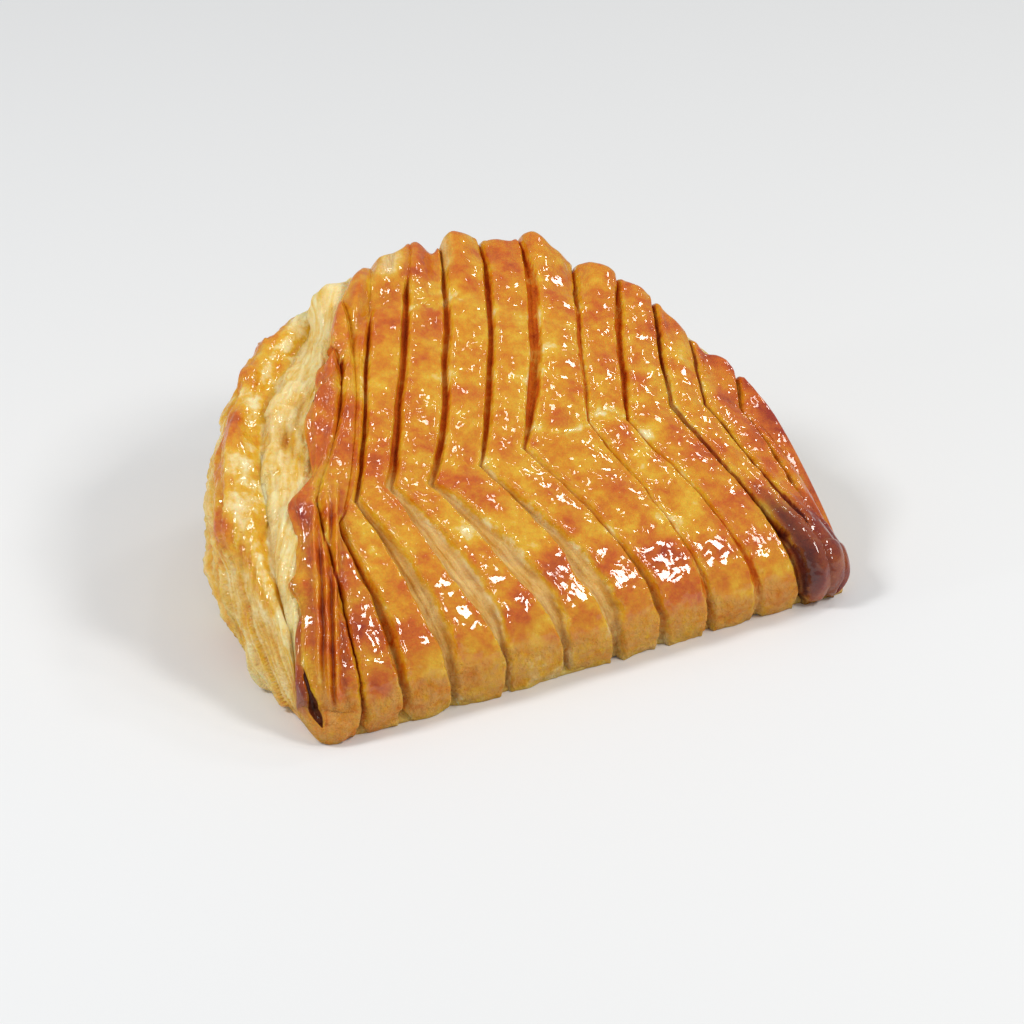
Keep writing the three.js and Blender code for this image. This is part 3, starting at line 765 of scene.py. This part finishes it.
def side_features(degrees, shares):
    """Single bulges, pits and bumps, as bells in bearing and in the way down: height and browning."""
    rises, browner = 0 * shares, 0 * shares
    for bearing, share, rise, half_width, half_length, brown in SIDE_FEATURES:
        bell = bump(bearing, half_width, degrees) * bump(share, half_length, shares)
        rises = rises + rise * MM * bell
        browner = browner + brown * bell
    return rises, browner


def side_grid(rib, run, share, line, points):
    """Where each point of the side lies: its rib, its ways along the rim and down the side, its share across
    its ply, how far that ply reaches out, how many flakes lie there, and the single features."""
    steps = np.linalg.norm(np.diff(points, axis=1), axis=-1)
    down = np.concatenate([np.zeros((len(rib), 1)), np.cumsum(steps, axis=1)], axis=1)
    runs = np.broadcast_to(run[:, None], down.shape)
    shares = np.broadcast_to(share, down.shape)
    drift = cloud(vectors(runs, 0.4 * down, 0), 14, 41)
    phase = down / PLY_THICKNESS + 0.8 * drift
    layer = np.floor(phase)
    reaches = np.random.default_rng(5).uniform(0.3, 1.0, LATTICE)
    sheets = vectors(runs / 2.5, down, 0)
    large, small = cloud(sheets, 5, 47), cloud(sheets, 2.4, 48)
    rises, browner = side_features(line.degrees, shares)
    return SimpleNamespace(
        rib=rib[:, None],
        run=runs,
        share=shares,
        down=down,
        ply=phase - layer,
        reach=reaches[layer.astype(int) % LATTICE],
        flakes=smooth(-0.06, 0.06, large) + 0.6 * smooth(-0.06, 0.06, small),
        room=np.clip(line.flare / FULL_FLARE, 0.35, 1),
        wall=smooth(0.66, 0.74, shares),
        rises=rises,
        browner=browner,
    )


def side_relief(grid, points, form):
    """Height over the smooth side: rounded, ragged ply edges, flatter on the shelf and the roll, taller on
    the wall; bulges, fibres, flakes and single features, smaller where the flare is narrow; none under the
    rim and at the foot."""
    roll = bump(0.47, 0.09, grid.share)
    shelf = fade(0.26, 0.34, grid.share)
    ragged = 0.75 + 0.45 * cloud(vectors(grid.run, grid.down * 3, 0), 7, 42)
    ply_edge = grid.reach * (1 - np.abs(2 * grid.ply - 1) ** 3) * ragged
    plies = form.ply_relief * ply_edge * (1 - 0.85 * roll) * (1 - 0.6 * shelf) * (1 + 0.9 * grid.wall)
    bulges = SIDE_BULGE * cloud(points, 11, 43) + SIDE_DENT * cloud(points, 4, 44)
    fibres = FIBRE_RELIEF * cloud(vectors(grid.run / 6, grid.down, 0), 0.7, 45)
    flakes = FLAKE_RELIEF * (grid.flakes - MEAN_FLAKES)
    height = plies + grid.room * (bulges + (fibres + flakes) * (1 - 0.9 * roll) + grid.rises)
    return height * smooth(0.0, 0.1, grid.share) * smooth(0.0, 0.06, 1 - grid.share)


def plies_inside(rib, line, form):
    """Face under the crust: the crust's own sections shrunk about their middles, more so at the tips."""
    middle = section_middle(line)
    size = 0.36 + 0.3 * smooth(0.8, 2.5, from_tips(rib))[:, None, None]
    inside = middle + (crust_point(line, INSIDE_STATIONS, form) - middle) * size
    inside[..., 2] = np.maximum(inside[..., 2], 0.8 * MM)
    return inside


def skirt_edge(line, form):
    """Front edge of the base: a straight line just inside the crust's foot, made ragged."""
    ragged = SKIRT_RAGGED * cloud(vectors(line.fold_x, 0, 0), 5, 46)
    return vectors(line.fold_x, CRUST_DEPTHS[0] * form.outline_depth + SKIRT_INSET - ragged, 0)


def open_plies_surface(form):
    """The lower half: the side profile carried along the rim, moved along its normal by its relief and up
    with the rib ends, closed by a flat base and by a face under the crust."""
    rib, run = rim_columns(SIDE_COLUMNS, form)
    share = np.linspace(0, 1, SIDE_ROWS)
    line = rib_line(rib[:, None], form)
    smooth_side = side_point(line, share)
    grid = side_grid(rib, run, share, line, smooth_side)
    along = np.gradient(smooth_side, run, axis=0)
    downward = np.gradient(smooth_side, share, axis=1)
    ends = np.clip(from_tips(grid.rib) / 0.8, 0, 1)
    relief = ends * side_relief(grid, smooth_side, form)
    side = smooth_side + unit(np.cross(along, downward)) * relief[..., None]
    side[..., 2] += PLIES_LIFT * ends * end_rise(grid.rib) * fade(0.0, 0.4, grid.share)

    inside = plies_inside(rib, line, form)
    skirt = skirt_edge(line, form)
    forward = np.linspace(0, 1, BASE_ROWS + 1)[None, 1:, None]
    base = side[:, -1:] + (skirt - side[:, -1:]) * forward
    base[..., 2] = 0
    side[..., 2] = np.maximum(side[..., 2], 0)
    front = skirt + np.array([0, 0, SKIRT_RISE])
    sections = np.concatenate([front, inside, side, base], axis=1)

    before = front.shape[1] + inside.shape[1]
    shades = pad_rows(plies_shades(grid, side), before, BASE_ROWS)
    for hidden in (slice(None, before), slice(-BASE_ROWS, None)):
        shades["bake"][:, hidden] = 0.36
        shades["cut"][:, hidden] = 0.3
    return close_tips(sections, line), shades


def plies_shades(grid, points):
    """The plies' shades: cream on the shelf; darker amber in the valley, partly translucent amber and partly
    painted shade of the deep fold; glazed and golden on the roll, browner on the ridge and tan on the wall,
    with painted shade darkening the grooves between its plies; patchy, paler on the flakes, and burnt a
    little at the tips."""
    shelf = fade(0.26, 0.33, grid.share)
    shaded_valley = bump(0.43, 0.04, grid.share)
    roll = bump(0.51, 0.07, grid.share)
    ridge = bump(0.62, 0.045, grid.share)
    wall = grid.wall
    tips = bump(0.0, 0.4, grid.rib) + bump(RIB_COUNT, 0.8, grid.rib)
    # Darker amber in the valley: partly translucent dough, partly painted shade of the deep fold.
    bake = 0.1 - 0.03 * shelf + 0.22 * shaded_valley + 0.06 * roll + 0.24 * ridge + 0.16 * wall + grid.browner
    bake += 0.07 * cloud(points, 9, 51) + 0.06 * cloud(points, 3.5, 52)
    bake -= 0.13 * (grid.flakes - MEAN_FLAKES) * (1 - 0.7 * roll)
    # Plies that reach further out are browner; the wall is darker in the grooves between its plies, which is
    # painted shade.
    bake += 0.16 * (grid.reach - 0.5) + 0.26 * (np.abs(2 * grid.ply - 1) ** 4 - 0.2) * wall
    cut = 0.6 - 0.6 * roll - 0.6 * ridge - 0.6 * shaded_valley - 0.25 * wall - 1.2 * grid.browner
    gloss = roll + 0.9 * ridge + 0.9 * shaded_valley + 0.55 * wall * grid.reach + 0.75 * shelf
    return {
        "bake": np.clip(bake + 0.15 * tips, 0, 1),
        "char": np.broadcast_to(0.25 * tips, wall.shape),
        "cut": np.clip(cut, 0, 1),
        "gloss": np.clip(gloss, 0, 1),
        "blister": np.clip(ridge + 0.3 * shelf, 0, 1),
        "across": grid.down,
        "run": grid.run,
    }


def link(name, data):
    """A new object in the scene."""
    item = bpy.data.objects.new(name, data)
    bpy.context.scene.collection.objects.link(item)
    return item


def skin(name, sections, shades, material):
    """Joins closed sections, given as columns by rows of points, into a mesh, with a fan to a point at
    either end."""
    columns, rows, _ = sections.shape
    ring = np.arange(columns * rows).reshape(columns, rows)
    near, far = ring[:-1], ring[1:]
    quads = np.stack([near, far, np.roll(far, -1, 1), np.roll(near, -1, 1)], axis=-1).reshape(-1, 4)
    left, right = columns * rows, columns * rows + 1
    first, last = ring[0], ring[-1]
    left_fan = np.stack([first, np.roll(first, -1), np.full(rows, left)], axis=-1)
    right_fan = np.stack([np.roll(last, -1), last, np.full(rows, right)], axis=-1)
    points = np.concatenate([sections.reshape(-1, 3), [sections[0].mean(0), sections[-1].mean(0)]])
    if not np.isfinite(points).all():
        raise ValueError(f"{name}: these sizes give no whole surface")
    mesh = bpy.data.meshes.new(name)
    mesh.from_pydata(points.tolist(), [], quads.tolist() + left_fan.tolist() + right_fan.tolist())
    mesh.shade_smooth()
    for shade, values in shades.items():
        attribute = mesh.attributes.new(shade, "FLOAT", "POINT")
        ends = [values[0].mean(), values[-1].mean()]
        attribute.data.foreach_set("value", np.concatenate([values.ravel(), ends]).astype(np.float32))
    mesh.materials.append(material)
    return link(name, mesh)


def build_piece(name, surface, form, material):
    """Makes a piece and hands it to the frame: it stands for the turnover's solid and rides with it."""
    sections, shades = surface(form)
    piece = skin(name, sections + FOLD_PLACE, shades, material)
    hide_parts(NODE)
    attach(piece, BODY)


class Nodes:
    """Short hand for adding shader nodes to one material."""

    def __init__(self, name):
        self.material = bpy.data.materials.new(name)
        self.material.use_nodes = True
        self.tree = self.material.node_tree
        self.tree.nodes.clear()

    def add(self, kind, inputs=(), **settings):
        """A node with its settings, and with each input linked to a socket or set to a value."""
        node = self.tree.nodes.new(kind)
        for key, value in settings.items():
            setattr(node, key, value)
        for socket, value in dict(inputs).items():
            if isinstance(value, bpy.types.NodeSocket):
                self.tree.links.new(value, node.inputs[socket])
            else:
                node.inputs[socket].default_value = value
        return node

    def attribute(self, name):
        return self.add("ShaderNodeAttribute", attribute_name=name).outputs["Fac"]

    def noise(self, vector, scale, detail, distortion=0.0):
        """Noise from 0 to 1, with its scale in cells to the metre."""
        inputs = {"Vector": vector, "Scale": scale, "Detail": detail, "Roughness": 0.55}
        inputs["Distortion"] = distortion
        return self.add("ShaderNodeTexNoise", inputs).outputs["Fac"]

    def math(self, operation, first, second):
        return self.add("ShaderNodeMath", {0: first, 1: second}, operation=operation).outputs[0]

    def times(self, first, second):
        return self.math("MULTIPLY", first, second)

    def total(self, first, *others):
        for other in others:
            first = self.math("ADD", first, other)
        return first

    def span(self, value, low, high, to_low, to_high):
        """The value carried from one span to another and held at its ends."""
        spans = {"From Min": low, "From Max": high, "To Min": to_low, "To Max": to_high}
        return self.add("ShaderNodeMapRange", {"Value": value, **spans}).outputs["Result"]

    def mix(self, share, first, second):
        return self.add("ShaderNodeMix", {0: share, 6: first, 7: second}, data_type="RGBA").outputs[2]

    def ramp(self, value, stops):
        node = self.add("ShaderNodeValToRGB", {"Fac": value})
        elements = node.color_ramp.elements
        while len(elements) < len(stops):
            elements.new(0.5)
        for element, (position, shade) in zip(elements, stops):
            element.position = position
            element.color = (*shade, 1.0)
        return node.outputs["Color"]

    def bumps(self, strength, distance, *heights):
        """A normal from the sum of the heights."""
        inputs = {"Strength": strength, "Distance": distance, "Height": self.total(*heights)}
        return self.add("ShaderNodeBump", inputs).outputs[0]

    def principled(self, inputs):
        """The material, finished with a principled surface."""
        shader = self.add("ShaderNodeBsdfPrincipled", inputs)
        self.add("ShaderNodeOutputMaterial", {"Surface": shader.outputs["BSDF"]})
        return self.material


def pastry_colour(nodes, position, sheets, finish, dough_shades):
    """Colour of the bake: the bake shade, made patchy by noise, runs through the bake's colours; tan flecks
    cover what isn't glazed; open dough is striped along its layers; and char darkens it."""
    bake, cut, char, gloss = map(nodes.attribute, ("bake", "cut", "char", "gloss"))
    patches = nodes.span(nodes.noise(position, 150.0, 4.0), 0.28, 0.72, -0.25, 0.25)
    freckles = nodes.span(nodes.noise(position, 560.0, 3.0), 0.3, 0.7, -0.09, 0.09)
    level = nodes.total(bake, patches, freckles)
    stops = (
        (0.0, finish.cream),
        (0.22, finish.golden),
        (0.44, finish.amber),
        (0.68, finish.russet),
        (1.0, finish.mahogany),
    )
    crust = nodes.ramp(level, stops)
    flecks = nodes.span(nodes.noise(position, 480.0, 4.0), 0.32, 0.68, 0.3, 1.5)
    unglazed = nodes.times(nodes.span(gloss, 0.0, 1.0, 0.6, 0.0), flecks)
    matte = nodes.mix(unglazed, crust, (*finish.tan, 1.0))
    stripes = nodes.span(nodes.noise(sheets, 800.0, 2.0), 0.35, 0.65, 0.0, 1.0)
    dough = nodes.mix(stripes, (*dough_shades[0], 1.0), (*dough_shades[1], 1.0))
    open_dough = nodes.mix(nodes.span(level, 0.3, 0.65, 0.85, 0.0), matte, dough)
    surface = nodes.mix(cut, matte, open_dough)
    return nodes.mix(nodes.times(char, 0.92), surface, (*finish.charred, 1.0))


def pastry_material(name, finish, dough_shades, glaze_roughness):
    """Baked pastry: a slightly translucent crumb, grainy, layered where the dough is open and rough where it
    isn't glazed, under a clear coat with crinkles, bubbles where it blistered, and a fine sparkle."""
    nodes = Nodes(name)
    position = nodes.add("ShaderNodeTexCoord").outputs["Object"]
    cut, gloss, blister = map(nodes.attribute, ("cut", "gloss", "blister"))
    along = nodes.times(nodes.attribute("run"), 0.14)
    sheets = nodes.add("ShaderNodeCombineXYZ", {"X": nodes.attribute("across"), "Y": along}).outputs[0]
    grain = nodes.noise(position, 1500.0, 3.0)
    layered = nodes.times(nodes.noise(sheets, 1500.0, 1.0), cut)
    rough = nodes.times(nodes.noise(position, 650.0, 3.0), nodes.span(gloss, 0.0, 1.0, 5.0, 0.0))
    crinkle = nodes.noise(position, 220.0, 0.0, 1.2)
    bubbles = nodes.times(nodes.noise(position, 700.0, 0.0), nodes.times(blister, 1.3))
    sparkle = nodes.times(nodes.noise(position, 900.0, 0.0), 0.16)
    return nodes.principled(
        {
            "Base Color": pastry_colour(nodes, position, sheets, finish, dough_shades),
            "Roughness": 0.55,
            "Normal": nodes.bumps(0.7, 0.0006, grain, layered, rough),
            "Subsurface Weight": 0.3,
            "Subsurface Radius": (0.005, 0.002, 0.0007),
            "Subsurface Scale": 1.0,
            "Specular IOR Level": 0.12,
            "Coat Weight": nodes.times(gloss, nodes.math("SUBTRACT", 1.0, cut)),
            "Coat Roughness": glaze_roughness,
            "Coat IOR": 1.58,
            "Coat Normal": nodes.bumps(1.0, 0.0003, crinkle, bubbles, sparkle),
        }
    )


class TURNOVER_OT_scored_crust(bpy.types.Operator):
    """Build the glazed top crust with its slashes and scalloped rim"""

    bl_idname = "turnover.scored_crust"
    bl_label = "Scored Crust"

    def execute(self, context):
        form, finish = context.scene.turnover_form, context.scene.turnover_finish
        material = pastry_material("glazed crust", finish, (finish.dough_shade, finish.dough), 0.045)
        build_piece("scored_crust", scored_crust_surface, form, material)
        return {"FINISHED"}


class TURNOVER_OT_open_plies(bpy.types.Operator):
    """Build the lower half, with the plies that open below the rim, and the flat base"""

    bl_idname = "turnover.open_plies"
    bl_label = "Open Plies"

    def execute(self, context):
        form, finish = context.scene.turnover_form, context.scene.turnover_finish
        material = pastry_material("open plies", finish, (finish.golden, finish.cream), 0.08)
        build_piece("open_plies", open_plies_surface, form, material)
        return {"FINISHED"}


def aim(item, location, back):
    """Puts a light or a camera at its place, looking against the direction back."""
    item.location = location
    item.rotation_mode = "QUATERNION"
    item.rotation_quaternion = (-back).to_track_quat("-Z", "Y")


def area_light(name, direction, size, power, tint):
    """Square light that faces the part from the given direction."""
    data = bpy.data.lights.new(name, "AREA")
    data.energy = power
    data.size = size
    data.color = tint
    back = Vector(direction).normalized()
    aim(link(name, data), back * LIGHT_DISTANCE, back)


def photograph_camera():
    """Camera at the photograph's angle, aimed so that the fold's middle falls on its pixel."""
    right = Vector((math.cos(VIEW_AZIMUTH), math.sin(VIEW_AZIMUTH), 0))
    level, rise = math.cos(VIEW_ELEVATION), math.sin(VIEW_ELEVATION)
    back = Vector((level * math.sin(VIEW_AZIMUTH), -level * math.cos(VIEW_AZIMUTH), rise))
    up = back.cross(right)
    data = bpy.data.cameras.new("camera")
    data.lens = LENS
    data.sensor_width = SENSOR
    distance = LENS / SENSOR * PICTURE / PIXELS_PER_MM * MM
    per_pixel = MM / PIXELS_PER_MM
    target = Vector(FOLD_PLACE) + right * ((PICTURE / 2 - FOLD_PIXEL[0]) * per_pixel)
    target = target + up * ((FOLD_PIXEL[1] - PICTURE / 2) * per_pixel)
    camera = link("camera", data)
    aim(camera, target + back * distance, back)
    bpy.context.scene.camera = camera


def pale_floor(shade):
    """Wide plain floor just under the part."""
    mesh = bpy.data.meshes.new("floor")
    turns = ((-1, -1), (1, -1), (1, 1), (-1, 1))
    corners = [(x * FLOOR_HALF, y * FLOOR_HALF, FLOOR_LEVEL) for x, y in turns]
    mesh.from_pydata(corners, [], [(0, 1, 2, 3)])
    mesh.materials.append(Nodes("floor").principled({"Base Color": (*shade, 1.0), "Roughness": 0.6}))
    floor = link("floor", mesh)


def soft_world(strength):
    """Even white light from all round."""
    world = bpy.data.worlds.new("soft studio")
    world.use_nodes = True
    background = world.node_tree.nodes["Background"]
    background.inputs["Color"].default_value = (*WHITE, 1.0)
    background.inputs["Strength"].default_value = strength
    return world


class TURNOVER_OT_stage(bpy.types.Operator):
    """Set up the pale floor, the soft light and the camera"""

    bl_idname = "turnover.stage"
    bl_label = "Stage"

    def execute(self, context):
        stage = context.scene.turnover_stage
        pale_floor(stage.floor)
        for name, (direction, size) in LIGHTS.items():
            tint = WHITE if name == "key" else stage.glint
            area_light(name, direction, size, getattr(stage, f"{name}_power"), tint)
        context.scene.world = soft_world(stage.fill)
        context.scene.view_settings.view_transform = "Standard"
        photograph_camera()
        return {"FINISHED"}


class TURNOVER_PT_parts(bpy.types.Panel):
    """Lists the steps that build the turnover, and the sizes and colours they use."""

    bl_idname = "TURNOVER_PT_parts"
    bl_label = "Turnover"
    bl_space_type = "VIEW_3D"
    bl_region_type = "UI"
    bl_category = "Turnover"

    def draw(self, context):
        column = self.layout.column()
        for operator in OPERATORS:
            column.operator(operator.bl_idname)
        for name, group in GROUPS.items():
            for setting in group.__annotations__:
                column.prop(getattr(context.scene, name), setting)


GROUPS = {"turnover_form": TurnoverForm, "turnover_finish": TurnoverFinish, "turnover_stage": TurnoverStage}
OPERATORS = (TURNOVER_OT_stage, TURNOVER_OT_scored_crust, TURNOVER_OT_open_plies)
CLASSES = (*GROUPS.values(), *OPERATORS, TURNOVER_PT_parts)


def register():
    for item in CLASSES:
        bpy.utils.register_class(item)
    for name, group in GROUPS.items():
        setattr(bpy.types.Scene, name, PointerProperty(type=group))


def unregister():
    for name in GROUPS:
        delattr(bpy.types.Scene, name)
    for item in reversed(CLASSES):
        bpy.utils.unregister_class(item)


def main():
    """Builds the stage and the pieces."""
    register()
    bpy.ops.turnover.stage()
    bpy.ops.turnover.scored_crust()
    bpy.ops.turnover.open_plies()


if __name__ == "__main__":
    main()
